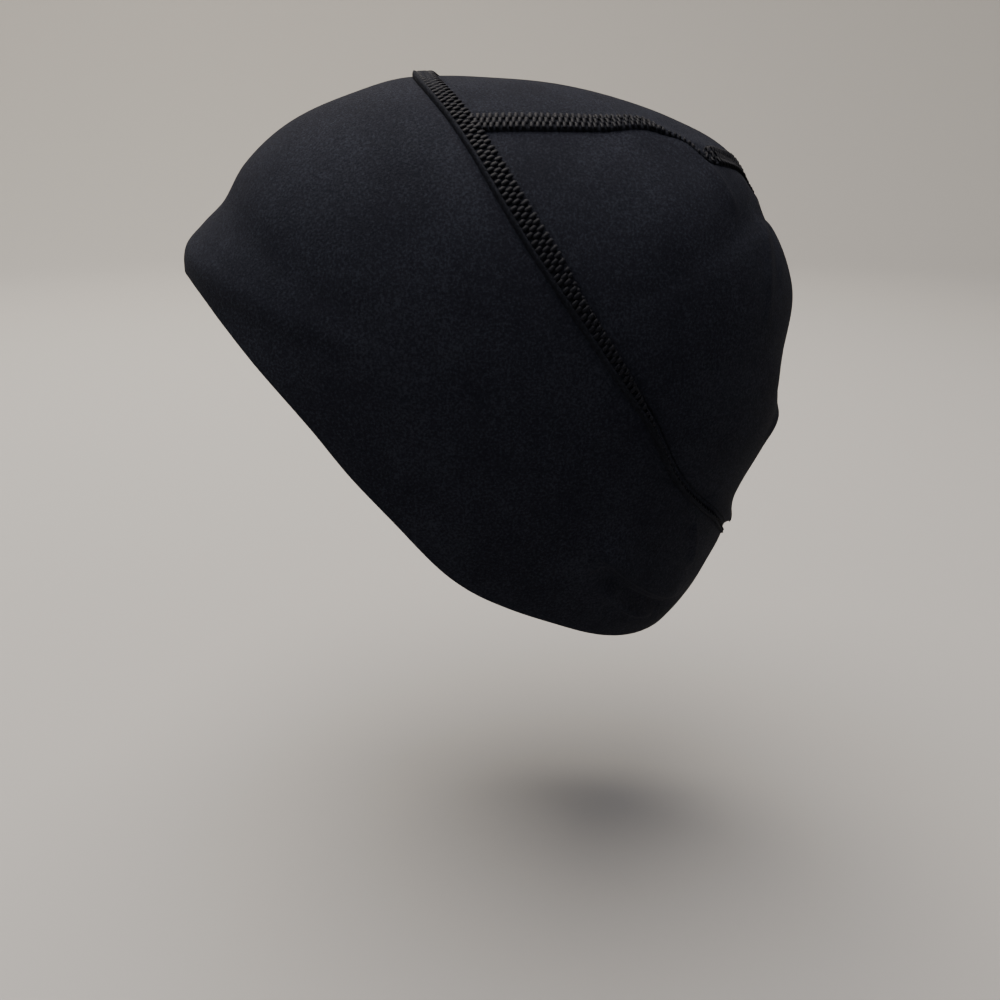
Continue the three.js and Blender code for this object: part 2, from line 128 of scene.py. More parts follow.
def unit(vectors):
    """Vectors of length one."""
    return vectors / np.linalg.norm(vectors, axis=-1, keepdims=True)


def base_point(direction):
    """Point in a direction where |x / half width|^p + (distance from the axis / outline)^p is 1."""
    turn = np.arctan2(direction[..., 2], direction[..., 1])
    power = arch_power(turn)
    across = np.abs(direction[..., 0]) / HALF_WIDTH
    along = np.hypot(direction[..., 1], direction[..., 2]) / outline_radius(turn)
    radius = (across**power + along**power) ** (-1 / power)
    return direction * radius[..., None]


def direction_at(turn, out):
    """Direction to the cloth at a turn round the ear axis and a share of the half width to the left."""
    turn, out = np.broadcast_arrays(turn, out)
    power = arch_power(turn)
    radius = outline_radius(turn) * (1 - np.abs(out) ** power) ** (1 / power)
    return unit(np.stack([out * HALF_WIDTH, np.cos(turn) * radius, np.sin(turn) * radius], axis=-1))


def axis_depth():
    """Height of the inner face above the ear axis at the origin, found by repeated aiming."""
    turn = np.pi / 2
    for _ in range(20):
        turn = np.arccos(-AXIS_BACK / outline_radius(turn))
    return float(outline_radius(turn) * np.sin(turn) - BAND_WALL)


CENTRE = np.array([0, AXIS_BACK, -axis_depth()])
print("middle of the ear axis at", np.round(CENTRE / MM, 2), "mm")

# %% [markdown]
# Stretch jersey that is drawn tight has few folds: soft dents down the back of the crown, a fold
# over the left crown seam, and gathers at the nape where the hem draws in.
# They could be left to a cloth simulation, but then they would fall anywhere.
# Here each fold is a crest line with a bell across it, so it lies where the photograph shows it.

# %% Soft folds that the solids have too
FOLDS = table("turn_a out_a turn_b out_b sides spread rise", [
    (56, 0.5, 44, 0.44, 1, 0.7, 0.5),
    (24, 0, 25, 0.3, 1, 1, -0.35),
    (12, -0.1, 10, 0.25, 1, 1.2, 0.4),
    (-4, -0.1, -5, 0.3, 1, 1.1, -0.4),
    (-14, -0.1, -15, 0.2, 1, 1, 0.3),
    (-29, -0.1, -28, 0.3, 1, 1, -0.3),
    (-38, -0.1, -37, 0.3, 1, 1, 0.3),
    (-56, 0.87, -51, 0.56, 2, 0.5, 0.4),
    (-60, 0.74, -55, 0.58, 2, 0.6, -0.45),
])


def fold_crests(rows):
    """Both ends of each crest, with its spread and rise; a row for two sides is mirrored."""
    ends, shapes = [], []
    for index in range(len(rows["rise"])):
        row = {name: column[index] for name, column in rows.items()}
        for side in (1, -1)[: int(row["sides"])]:
            turns = np.radians([row["turn_a"], row["turn_b"]])
            outs = side * np.array([row["out_a"], row["out_b"]])
            ends.append(base_point(direction_at(turns, outs)))
            shapes.append((row["spread"] * FOLD_SPREAD, row["rise"] * FOLD_RISE))
    return ends, shapes


CREST_ENDS, CREST_SHAPES = fold_crests(FOLDS)


def soft_folds(point):
    """Height of the soft folds: rise times exp(-(distance to the crest / spread)^2), all added up."""
    height = np.zeros(point.shape[:-1])
    for (start, end), (spread, rise) in zip(CREST_ENDS, CREST_SHAPES):
        chord = end - start
        share = np.clip((point - start) @ chord / (chord @ chord), 0, 1)
        away = np.linalg.norm(point - start - share[..., None] * chord, axis=-1)
        height += rise * np.exp(-((away / spread) ** 2))
    return height


# %% [markdown]
# Between the soft folds lie finer creases, short ridges and dents behind the top and at the nape.
# They could be drawn as bump in the material, but bump bends neither the outline nor a seam.
# So each crease is a bent crest with a bell across it, steeper on one side, as where cloth that is
# pushed together begins to fold over.

# %% Fine creases
# The columns are three places on the crest, the left side only or both, the spread on its lower
# and upper side in millimetres, and its rise in millimetres, negative for a dent.
CREASES = table("turn_a out_a turn_b out_b turn_c out_c sides low high rise", [
    (53.5, 0.415, 50, 0.44, 45.5, 0.468, 1, 1.1, 3.5, 1.0),
    (51, 0.44, 42.5, 0.522, 31, 0.58, 1, 3.5, 2.2, 1.0),
    (27, 0.42, 20, 0.54, 8, 0.62, 1, 2.0, 3.0, 0.7),
    (31, -0.3, 30, 0.1, 28.5, 0.42, 1, 3.0, 4.0, 0.9),
    (26, -0.2, 25.4, 0.25, 14, 0.52, 1, 3.0, 2.4, -0.9),
    (-9.5, -0.5, -11, 0.1, -17, 0.42, 1, 3.0, 4.0, 1.3),
    (-6.5, -0.1, -6, 0.2, -9, 0.36, 1, 3.5, 2.0, -0.8),
    (-56.1, 0.88, -54, 0.80, -51, 0.555, 2, 1.4, 6.0, 2.5),
    (-58.4, 0.86, -57, 0.77, -54, 0.56, 2, 4.0, 1.5, -1.8),
    (-61.2, 0.82, -60.2, 0.72, -56.6, 0.56, 2, 1.2, 4.0, 2.0),
    (-30.2, 0.68, -34.4, 0.38, -36.6, -0.2, 1, 2.0, 4.5, 1.6),
    (-36.5, 0.68, -40.0, 0.63, -44.6, 0.57, 1, 3.0, 0.9, 1.2),
])


def crest_points(turns, outs, count=24):
    """Points of a bent crest: a parabola through three places, on the cloth."""
    t = np.linspace(0, 1, count)
    weights = np.stack([(1 - t) * (1 - 2 * t), 4 * t * (1 - t), t * (2 * t - 1)], axis=-1)
    return base_point(direction_at(np.radians(weights @ turns), weights @ outs))


def crease_height(point, crest, low, high, rise):
    """Bell across a crest, narrower on its lower side, that fades to nothing at both ends."""
    middle = crest.mean(axis=0)
    reach = np.linalg.norm(crest - middle, axis=-1).max() + 3 * max(low, high)
    height = np.zeros(point.shape[:-1])
    near = np.linalg.norm(point - middle, axis=-1) < reach
    places = point[near]
    best = np.full(len(places), np.inf)
    side = np.ones(len(places))
    run = np.zeros(len(places))
    for index in range(len(crest) - 1):
        start, chord = crest[index], crest[index + 1] - crest[index]
        share = np.clip((places - start) @ chord / (chord @ chord), 0, 1)
        offset = places - start - share[:, None] * chord
        away = np.linalg.norm(offset, axis=-1)
        closer = away < best
        best = np.where(closer, away, best)
        side = np.where(closer, np.sign(offset @ np.cross(chord, start)), side)
        run = np.where(closer, (index + share) / (len(crest) - 1), run)
    spread = np.where(side > 0, low, high)
    height[near] = rise * np.exp(-((best / spread) ** 2)) * (1 - (2 * run - 1) ** 4)
    return height


def crease_crests(rows):
    """Crest, spreads and rise of each crease; a row for two sides is mirrored."""
    made = []
    for index in range(len(rows["rise"])):
        row = {name: column[index] for name, column in rows.items()}
        turns = np.array([row["turn_a"], row["turn_b"], row["turn_c"]])
        outs = np.array([row["out_a"], row["out_b"], row["out_c"]])
        sizes = (row["low"] * MM, row["high"] * MM, row["rise"] * MM)
        made.append((crest_points(turns, outs), *sizes))
        if row["sides"] == 2:
            made.append((crest_points(turns, -outs)[::-1], *sizes))
    return made


CRESTS = crease_crests(CREASES)
print(len(CREST_SHAPES), "soft folds and", len(CRESTS), "creases")

# %% [markdown]
# The cut pieces meet at seam lines, and the band ends at its hem.
# Such lines could be drawn by hand on a mesh, but tape and thread would then have to be fitted again
# after each change. Here a line is a curve on the form that cloth, tape and thread all share.
# The hem and the band seam are nearly straight in the side view, so each is a straight line with a
# bow across it, and a crown seam is the half width of the centre strip along its way.

# %% Seam and hem lines
# The bow is the distance sideways from the straight line in the side view, as a share of the line.
HEM_BOW = table("along bow", [
    (0, 0), (0.03, 0.018), (0.1, 0.019), (0.19, 0.0085), (0.29, -0.0095), (0.38, -0.035),
    (0.47, -0.056), (0.57, -0.0815), (0.63, -0.087), (0.69, -0.0815), (0.77, -0.069),
    (0.87, -0.056), (0.93, -0.038), (1, 0),
])
BAND_SEAM_BOW = table("along bow", [
    (0, 0), (0.05, 0.0115), (0.1, 0.019), (0.16, 0.021), (0.22, 0.019), (0.3, 0.0168),
    (0.4, 0.0175), (0.47, 0.018), (0.54, 0.0178), (0.6, 0.0185), (0.645, 0.017), (0.69, 0.01),
    (0.74, 0.0025), (0.79, 0.001), (0.84, 0.006), (0.89, 0.0115), (0.94, 0.009), (1, 0),
])
CROWN_SEAM_TAPER = table("along taper", [
    (0, 0), (0.07, 0.032), (0.144, 0.08), (0.215, 0.185), (0.266, 0.33), (0.3, 0.425),
    (0.32, 0.445), (0.34, 0.46), (0.36, 0.44), (0.38, 0.395), (0.396, 0.42), (0.415, 0.6),
    (0.437, 0.86), (0.46, 1.04), (0.5, 1.2), (0.64, 1.25), (0.79, 1.23), (0.905, 1.12), (1, 1),
])


def side_loop(front_turn, back_turn, bows):
    """Line round the cap as a function of the lap: 0 front middle, 0.25 left side, 0.5 back middle.
    In the side view it is the straight line from front to back, bent sideways by the table's bow."""
    turns = np.radians([front_turn, back_turn])
    front, back = (np.array([np.cos(t), np.sin(t)]) * outline_radius(t) for t in turns)
    chord = back - front
    sideways = np.array([-chord[1], chord[0]])

    def line(lap):
        angle = 2 * np.pi * np.asarray(lap, float)
        along = (1 - np.cos(angle)) / 2
        bow = read_table(bows, "along", "bow", along)
        place = front + along[..., None] * chord + bow[..., None] * sideways
        turn = np.arctan2(place[..., 1], place[..., 0])
        power = arch_power(turn)
        distance = np.hypot(place[..., 0], place[..., 1])
        inside = np.maximum(1 - (distance / outline_radius(turn)) ** power, 0)
        out = np.sign(np.sin(angle)) * HALF_WIDTH * inside ** (1 / power)
        return unit(np.stack([out, place[..., 0], place[..., 1]], axis=-1))

    return line


hem_line = side_loop(FRONT_HEM_TURN, BACK_HEM_TURN, HEM_BOW)
band_seam_line = side_loop(FRONT_SEAM_TURN, BACK_SEAM_TURN, BAND_SEAM_BOW)


# %% Crown seams: where they leave the band seam, and how the centre strip narrows
def turn_of(direction):
    """Turn round the ear axis."""
    return np.arctan2(direction[..., 2], direction[..., 1])


def lap_at_out(out, front):
    """Lap of the band seam that lies a share of the half width to the left, read off a fine list."""
    laps = np.linspace(0, 0.25, 2000) if front else np.linspace(0.5, 0.25, 2000)
    outs = base_point(band_seam_line(laps))[..., 0] / HALF_WIDTH
    return np.interp(out, outs, laps)


FRONT_OUT = STRIP_FRONT / CAP_WIDTH
BACK_OUT = STRIP_BACK / CAP_WIDTH
FRONT_LAP = lap_at_out(FRONT_OUT, True)
BACK_LAP = lap_at_out(BACK_OUT, False)
FRONT_JOIN_TURN = turn_of(band_seam_line(FRONT_LAP))
BACK_JOIN_TURN = turn_of(band_seam_line(BACK_LAP))


def strip_out(along):
    """Half the spread of the centre strip as a share of the half width."""
    taper = read_table(CROWN_SEAM_TAPER, "along", "taper", along)
    return FRONT_OUT + (BACK_OUT - FRONT_OUT) * taper


def strip_turn(along):
    """Turn of a crown seam from its front join to its back join."""
    return FRONT_JOIN_TURN + (BACK_JOIN_TURN - FRONT_JOIN_TURN) * along


def crown_seam_line(side):
    """Crown seam of one side as a function of the share along it."""
    return lambda along: direction_at(strip_turn(along), side * strip_out(along))


def strip_direction(across, along):
    """Centre strip: across from -1 to 1; both ends swell to the band seam as the square of the way."""
    front = turn_of(band_seam_line(lap_at_out(np.abs(across) * FRONT_OUT, True))) - FRONT_JOIN_TURN
    back = turn_of(band_seam_line(lap_at_out(np.abs(across) * BACK_OUT, False))) - BACK_JOIN_TURN
    turn = strip_turn(along) + front * (1 - along) ** 2 + back * along**2
    return direction_at(turn, across * strip_out(along))


def mix(start, end, share):
    """Directions between two lines of directions."""
    return unit(start + (end - start) * share[..., None])


print("crown seams leave the band seam at laps", round(float(FRONT_LAP), 4), round(float(BACK_LAP), 4))

# %% [markdown]
# The outer face of the cloth is the smooth form lifted by its folds.
# Down the back the crown seams lie sunk between soft bulges, because thread gives less than jersey.
# They could be pressed in once the panels are made, but one height that every piece adds to the
# same form keeps neighbours flush.

# %% Cloth surface
SINK_DEPTH = 2.0 * MM
SINK_SPREAD = 6 * MM
SEAM_SINK = table("along sink", [
    (0, 0), (0.25, 0), (0.3, 0.2), (0.35, 0.4), (0.39, 0.45), (0.42, 0.7), (0.45, 1), (0.5, 1.2),
    (0.85, 1.2), (0.95, 0.5), (1, 0),
])


def seam_sink(point):
    """At the back the crown seams lie sunk between soft bulges: a bell of the way to the seam."""
    along = (FRONT_JOIN_TURN - turn_of(point)) / (FRONT_JOIN_TURN - BACK_JOIN_TURN)
    inside = (along > 0) & (along < 1)
    along = np.clip(along, 0, 1)
    away = (np.abs(point[..., 0]) / HALF_WIDTH - strip_out(along)) * HALF_WIDTH
    depth = SINK_DEPTH * read_table(SEAM_SINK, "along", "sink", along)
    return np.where(inside, -depth * np.exp(-((away / SINK_SPREAD) ** 2)), 0)


def cloth_point(direction):
    """Outer face of the cloth in a direction: the smooth form, lifted by its folds and creases."""
    point = base_point(direction)
    height = soft_folds(point) + seam_sink(point)
    for crest, low, high, rise in CRESTS:
        height += crease_height(point, crest, low, high, rise)
    return point + direction * height[..., None]


top_point = cloth_point(np.array([[0.0, 0.0, 1.0]]))[0] + CENTRE
print("cloth above the ear axis at", np.round(top_point / MM, 1), "mm")

# %% [markdown]
# Each cloth piece is one closed wall: an outer face on a fine grid, an inner face on fewer rows,
# and rounded or flat edges between them.
# A Solidify modifier would do nearly the same, but rings of points let the hem of the band be the
# soft fold of doubled jersey that it really is.


# %% Grid tools
def grid_normals(points, looped=False):
    """Normals of a grid surface: the cross product of its steps along and across."""
    if looped:
        padded = np.concatenate([points[-1:], points, points[:1]])
        along = np.gradient(padded, axis=0)[1:-1]
    else:
        along = np.gradient(points, axis=0)
    across = np.gradient(points, axis=1)
    normal = unit(np.cross(along, across))
    outward = (normal * points).sum() > 0
    return normal if outward else -normal


def run_lengths(points, axis):
    """Distance run along one axis of a grid of points, from zero."""
    steps = np.linalg.norm(np.diff(points, axis=axis), axis=-1)
    runs = np.cumsum(steps, axis=axis)
    return np.insert(runs, 0, 0, axis=axis)


def ring_mesh(name, rings, flat, looped):
    """Closed mesh from rings of points, joined end to end or with both end rings filled.
    flat holds each corner's place on the cut cloth, in metres, for the weave."""
    count, size = rings.shape[:2]
    spans = count if looped else count - 1
    ring, k = np.meshgrid(np.arange(spans), np.arange(size), indexing="ij")
    here, there = ring * size, (ring + 1) % count * size
    after = (k + 1) % size
    quads = np.stack([here + k, here + after, there + after, there + k], axis=-1).reshape(-1, 4)
    corners = np.stack([flat[ring, k], flat[ring, k + 1], flat[ring + 1, k + 1], flat[ring + 1, k]], axis=2)
    corners = corners.reshape(-1, 4, 2)
    points = (rings + CENTRE).reshape(-1, 3)
    a, b, c, d = (rings.reshape(-1, 3)[quads[:, i]] for i in range(4))
    inside_out = (a * np.cross(b, c) + a * np.cross(c, d)).sum() < 0
    if inside_out:
        quads, corners = quads[:, ::-1], corners[:, ::-1]
    faces = quads.tolist()
    places = corners.reshape(-1, 2)
    if not looped:
        first, last = np.arange(size), np.arange(size) + (count - 1) * size
        ends = [first, last[::-1]] if inside_out else [first[::-1], last]
        faces += [end.tolist() for end in ends]
        places = np.concatenate([places, flat[0, ends[0] % size], flat[count - 1, ends[1] % size]])
    mesh = bpy.data.meshes.new(name)
    mesh.from_pydata(points.tolist(), [], faces)
    mesh.uv_layers.new(name="cut").data.foreach_set("uv", places.astype(np.float32).ravel())
    mesh.shade_smooth()
    piece = bpy.data.objects.new(name, mesh)
    bpy.context.collection.objects.link(piece)
    return piece


def wall_rings(outer, wall, looped, inner_every, hem=None):
    """Rings round a cloth wall: the outer face, the hem's points if there are any, the inner face."""
    normals = grid_normals(outer, looped)
    inner = (outer - normals * wall)[:, ::-1]
    keep = np.unique(np.append(np.arange(0, inner.shape[1], inner_every), inner.shape[1] - 1))
    parts = [outer] + ([] if hem is None else [hem]) + [inner[:, keep]]
    return np.concatenate(parts, axis=1)


def flat_places(rings, looped):
    """Place of each ring point on the cut cloth: the run along the middle, and the run round the ring."""
    closed = np.concatenate([rings, rings[:, :1]], axis=1)
    if looped:
        closed = np.concatenate([closed, closed[:1]])
    along = run_lengths(closed, 0).mean(axis=1)[:, None] + np.zeros(closed.shape[:2])
    return np.stack([along, run_lengths(closed, 1)], axis=-1)


def area_of(outer):
    """Area of a grid surface, from its steps."""
    along = np.diff(outer, axis=0)[:, :-1]
    across = np.diff(outer, axis=1)[:-1]
    return float(np.linalg.norm(np.cross(along, across), axis=-1).sum())


# %% [markdown]
# The band is one strip of jersey folded double, so its lower edge is a soft round without stitches.
# It could be a surface with a Solidify modifier, but that leaves a square edge.
# Rows from the seam line down to the hem line follow both lines, and a half round closes the hem.

# %% The band
BAND_COLUMNS = 720
BAND_ROWS = 90
BAND_CROWDING = 0.9
HEM_POINTS = 7
INNER_EVERY = 4
EDGE_GAP = 0.1 * MM
PINCH_DEPTH = 0.55 * MM
PINCH_WIDTH = 2.6 * MM


def pinch(distance):
    """The seam's tension draws the cloth in beside it: a bell of the distance from the seam line."""
    return -PINCH_DEPTH * np.exp(-((distance / PINCH_WIDTH) ** 2))


def make_band():
    """Rows of directions from the seam line down to the hem line, then a half round fold."""
    lap = np.arange(BAND_COLUMNS) / BAND_COLUMNS
    top, hem = band_seam_line(lap)[:, None], hem_line(lap)[:, None]
    height = np.linalg.norm(base_point(top) - base_point(hem), axis=-1)
    radius = BAND_WALL / 2
    share = np.linspace(0, 1, BAND_ROWS + 1) ** BAND_CROWDING
    low, high = EDGE_GAP / height, 1 - radius / height
    rows = low + (high - low) * share
    direction = mix(top, hem, rows)
    outer = cloth_point(direction)
    outer = outer + direction * pinch(rows * height)[..., None]
    normal = grid_normals(outer, True)[:, -1:]
    down = unit(outer[:, -1:] - outer[:, -2:-1])
    foot = outer[:, -1:] - normal * radius
    angle = np.pi * np.arange(1, HEM_POINTS + 1)[None, :, None] / (HEM_POINTS + 1)
    fold = foot + radius * (np.cos(angle) * normal + np.sin(angle) * down)
    rings = wall_rings(outer, BAND_WALL, True, INNER_EVERY, fold)
    return ring_mesh("wrap_band", rings, flat_places(rings, True), True), area_of(outer)


band, band_area = make_band()
print("band:", len(band.data.polygons), "faces,", round(band_area * 1e4), "square centimetres")

# %% [markdown]
# The crown is a centre strip, wide over the brow and narrow at the nape, between two leaf-shaped
# side panels. One shell with grooves would look much alike from far away.
# Separate panels have real edges that dip under the seams, as cut and sewn jersey does.

# %% The crown's three panels
PANEL_ROWS = 300
STRIP_COLUMNS = 110
SIDE_COLUMNS = 110
SIDE_CROWDING = 1.3
STRIP_TRIM = 0.0005
SIDE_TRIM = 0.004


def make_crown_centre():
    """Strip from the front seam over the top to the nape, between the two crown seams."""
    along = np.linspace(STRIP_TRIM, 1 - STRIP_TRIM, PANEL_ROWS + 1)[:, None]
    half = strip_out(along) * HALF_WIDTH
    across = np.linspace(-1, 1, STRIP_COLUMNS + 1)[None, :] * (1 - EDGE_GAP / half)
    direction = strip_direction(across, along)
    outer = cloth_point(direction)
    outer = outer + direction * pinch((1 - np.abs(across)) * half)[..., None]
    rings = wall_rings(outer, CROWN_WALL, False, INNER_EVERY)
    return ring_mesh("crown_strip", rings, flat_places(rings, False), False), area_of(outer)


def make_crown_side(name, side):
    """Leaf between the crown seam above and the band seam below."""
    along = np.linspace(SIDE_TRIM, 1 - SIDE_TRIM, PANEL_ROWS + 1)
    top = crown_seam_line(side)(along)[:, None]
    bottom = band_seam_line(side * (FRONT_LAP + (BACK_LAP - FRONT_LAP) * along))[:, None]
    height = np.linalg.norm(base_point(top) - base_point(bottom), axis=-1)
    edge = EDGE_GAP / height
    share = edge + (1 - 2 * edge) * np.linspace(0, 1, SIDE_COLUMNS + 1) ** SIDE_CROWDING
    direction = mix(top, bottom, share)
    outer = cloth_point(direction)
    outer = outer + direction * (pinch(share * height) + pinch((1 - share) * height))[..., None]
    rings = wall_rings(outer, CROWN_WALL, False, INNER_EVERY)
    return ring_mesh(name, rings, flat_places(rings, False), False), area_of(outer)


crown_centre, centre_area = make_crown_centre()
crown_left, side_area = make_crown_side("crown_side_l", 1)
crown_right, _ = make_crown_side("crown_side_r", -1)
print("crown:", [len(p.data.polygons) for p in (crown_centre, crown_left, crown_right)], "faces")

# %% [markdown]
# The seams are flatlock seams: the two edges lie over each other and a machine covers them with
# three lanes of looped thread, so that no edge rubs the skin.
# A bump texture could fake the stitches, but they stand half a millimetre proud and show in the
# outline, so each lane is a real thread, carried as a round profile along a zigzag path.


# %% Seam frames
def seam_frame(line, along, step=0.0006):
    """Point on the cloth at a place along a seam line, and the directions forward and across there."""
    here = cloth_point(line(along))
    forward = unit(cloth_point(line(along + step)) - cloth_point(line(along - step)))
    across = unit(np.cross(forward, here))
    return here, forward, across


def seam_surface(line, along, offset, lift):
    """Points beside a seam line: offset across it on the cloth, then lifted off the cloth."""
    here, forward, across = seam_frame(line, along)
    beside = cloth_point(unit(here + across * offset[..., None]))
    normal = unit(np.cross(across, forward))
    normal = np.where((normal * here).sum(-1, keepdims=True) < 0, -normal, normal)
    return beside + normal * lift[..., None]


# %% [markdown]
# The seams don't lie evenly on the cap. The cloth folds over a short stretch of the left crown seam,
# behind the ear the crown bulges over the upper part of the band seam, and over the brow the
# allowance rolls up round its stitches.
# The seams could be cut off there, but the real ones run on under the cloth.
# So each such place is a depth by which tape and thread sink, made of smooth steps.

# %% Where the seams sink or swell
FOLD_FROM = 0.322
FOLD_SLANT = 0.02
FOLD_TO = 0.392
FOLD_BLEND = 0.026
FOLD_SINK = 2.6 * MM
REAR_FROM = 0.47
REAR_BLEND = 0.05
REAR_SINK = 0.9 * MM
LIP_FROM = 0.95
LIP_BLEND = 0.3
BROW_REACH = 0.078
BROW_SWELL = 0.75 * MM
BROW_TUCK = 0.5 * MM


def step_up(value):
    """Smooth step from 0 to 1 while the value goes from 0 to 1."""
    value = np.clip(value, 0, 1)
    return value * value * (3 - 2 * value)


def rear_sink(along, out):
    """Down the back both crown seams lie a little deeper between the bulges."""
    rear = step_up((along - REAR_FROM) / REAR_BLEND) * step_up((1 - along) / REAR_BLEND)
    return REAR_SINK * rear + 0 * out


def fold_sink(along, out):
    """Depth by which a short stretch of the left seam dives under the folded cloth: whole between
    the two ends of the fold, less towards the seam's lower lip, which stays in sight."""
    enter = step_up((along - FOLD_FROM - FOLD_SLANT * out) / FOLD_BLEND + 0.5)
    leave = step_up((FOLD_TO - along) / FOLD_BLEND + 0.5)
    return FOLD_SINK * enter * leave * step_up((LIP_FROM - out) / LIP_BLEND) + rear_sink(along, out)


OVERHANG = table("lap reach", [
    (0, -1.4), (0.17, -1.4), (0.2, -1), (0.22, -0.6), (0.264, -0.27), (0.28, 0.07), (0.293, 0.33),
    (0.305, 0.45), (0.4, 0.45), (0.5, 0.45),
])
OVERHANG_SINK = 2.4 * MM
NAPE_FROM = 0.38
NAPE_BLEND = 0.05
NAPE_SINK = 0.8 * MM


def overhang_sink(lap, out):
    """Behind the ear the crown cloth bulges over the upper part of the band seam: what lies above
    the table's reach, as a share of half the seam's width, sinks under it. At the nape the whole
    seam lies a little deeper."""
    from_front = 0.5 - np.abs(np.mod(lap, 1) - 0.5)
    reach = read_table(OVERHANG, "lap", "reach", from_front)
    nape = NAPE_SINK * step_up((from_front - NAPE_FROM) / NAPE_BLEND)
    return nape + OVERHANG_SINK * step_up((reach - out) / LIP_BLEND + 0.5)


def brow_swell(along, out):
    """Over the brow the allowance rolls up round the stitches and tucks in at its edges: a bell of the
    lap from the front middle, times a half circle across the seam. A swell is a sink below zero."""
    lap = np.abs((np.asarray(along) + 0.5) % 1 - 0.5)
    bell = np.exp(-((lap / BROW_REACH) ** 4))
    roll = BROW_SWELL * np.clip(1 - out**2, 0, 1) ** 0.5 - BROW_TUCK * out**4
    return overhang_sink(along, out) - bell * roll


print("the left crown seam dives by up to", round((FOLD_SINK + REAR_SINK) / MM, 1), "mm")

# %% [markdown]
# Under the thread lie the two cut edges of jersey, lapped over each other and pressed flat.
# A strip with a bump would do from far away, but the lip of the upper edge catches the light.
# A cross profile carried along the seam line gives that lip its round and its thickness.

# %% Seam tapes
BAND_PROFILE = table("out rise", [
    (-1.0, -0.35), (-0.98, 0.05), (-0.92, 0.3), (-0.8, 0.48), (-0.66, 0.52), (-0.4, 0.52), (-0.1, 0.52),
    (0.2, 0.5), (0.54, 0.5), (0.62, 0.72), (0.73, 0.86), (0.84, 0.8), (0.93, 0.5), (0.98, 0.1),
    (1.0, -0.35),
])
CROWN_PROFILE = table("out rise", [
    (-1.0, -0.35), (-0.98, 0.05), (-0.92, 0.3), (-0.8, 0.48), (-0.5, 0.52), (-0.2, 0.52), (0.1, 0.52),
    (0.4, 0.52), (0.66, 0.5), (0.8, 0.42), (0.9, 0.3), (0.96, 0.16), (1.0, 0.02), (1.01, -0.1),
    (1.0, -0.35),
])
TAPE_STEP = 0.8 * MM


def even_places(line, start, end, share):
    """Places along a line at shares of its real length, read off a fine list of its run."""
    along = np.linspace(start, end, 4000)
    run = run_lengths(base_point(line(along)), 0)
    return np.interp(share, run / run[-1], along), float(run[-1])


def make_tape(name, line, start, end, looped, profile, side, sink):
    """The profile's offsets and rises, as shares of half the seam's width and its height."""
    steps = int(round(even_places(line, start, end, 0)[1] / TAPE_STEP))
    share = np.linspace(0, 1, steps, endpoint=not looped)
    along, length = even_places(line, start, end, share)
    along = along[:, None] + 0 * profile["out"][None, :]
    out = profile["out"][None, :] + 0 * along
    lift = profile["rise"][None, :] * SEAM_HEIGHT - sink(along, out)
    rings = seam_surface(line, along, side * out * SEAM_WIDTH / 2, lift)
    return ring_mesh(name, rings, flat_places(rings, looped), looped), length


CROWN_START = 0.006
CROWN_END = 0.992
band_tape, band_seam_length = make_tape(
    "band_seam_tape", band_seam_line, 0, 1, True, BAND_PROFILE, 1, brow_swell
)
left_tape, crown_seam_length = make_tape(
    "crown_seam_tape_l", crown_seam_line(1), CROWN_START, CROWN_END, False, CROWN_PROFILE, 1, fold_sink
)
right_tape, _ = make_tape(
    "crown_seam_tape_r", crown_seam_line(-1), CROWN_START, CROWN_END, False, CROWN_PROFILE, -1, rear_sink
)
print("seams:", round(band_seam_length / MM), "mm round,", round(crown_seam_length / MM), "mm over the crown")

# %% [markdown]
# Soft bulked thread covers the lapped edges in three lanes of loops.
# Curves with a bevel could carry it, but hundreds of loops are quicker to work out as arrays.
# A path swings across its lane, arches over the top and dives back under the cloth, and a flat
# oval of six sides follows it. The spacing varies a little, as it does where jersey stretches.

# %% Cover threads
THREAD_SIDES = 6
OVER_POINTS = 9
UNDER_POINTS = 4
BED = 0.5 * SEAM_HEIGHT
DIVE = 0.75 * MM
ARCH_LIFT = 1.3
ARCH_POWER = 0.6
UNDER_START = 0.6
UNDER_SAG = 0.4
BAND_LANES = table("middle half shift slant", [
    (-0.68, 0.29, 0.0, 0.2), (-0.16, 0.29, 0.5, 0.2), (0.33, 0.26, 0.0, 0.2),
])
CROWN_LANES = table("middle half shift slant", [
    (-0.62, 0.34, 0.0, -0.25), (0.0, 0.34, 0.5, -0.25), (0.58, 0.32, 0.0, -0.25),
])
BAND_STITCH = {"pitch": 2.2 * MM, "wide": 0.7 * MM, "high": 0.34 * MM}
CROWN_STITCH = {"pitch": 1.9 * MM, "wide": 0.7 * MM, "high": 0.28 * MM}
SPACING_PLAY = 0.12
THREAD_SEED = 5


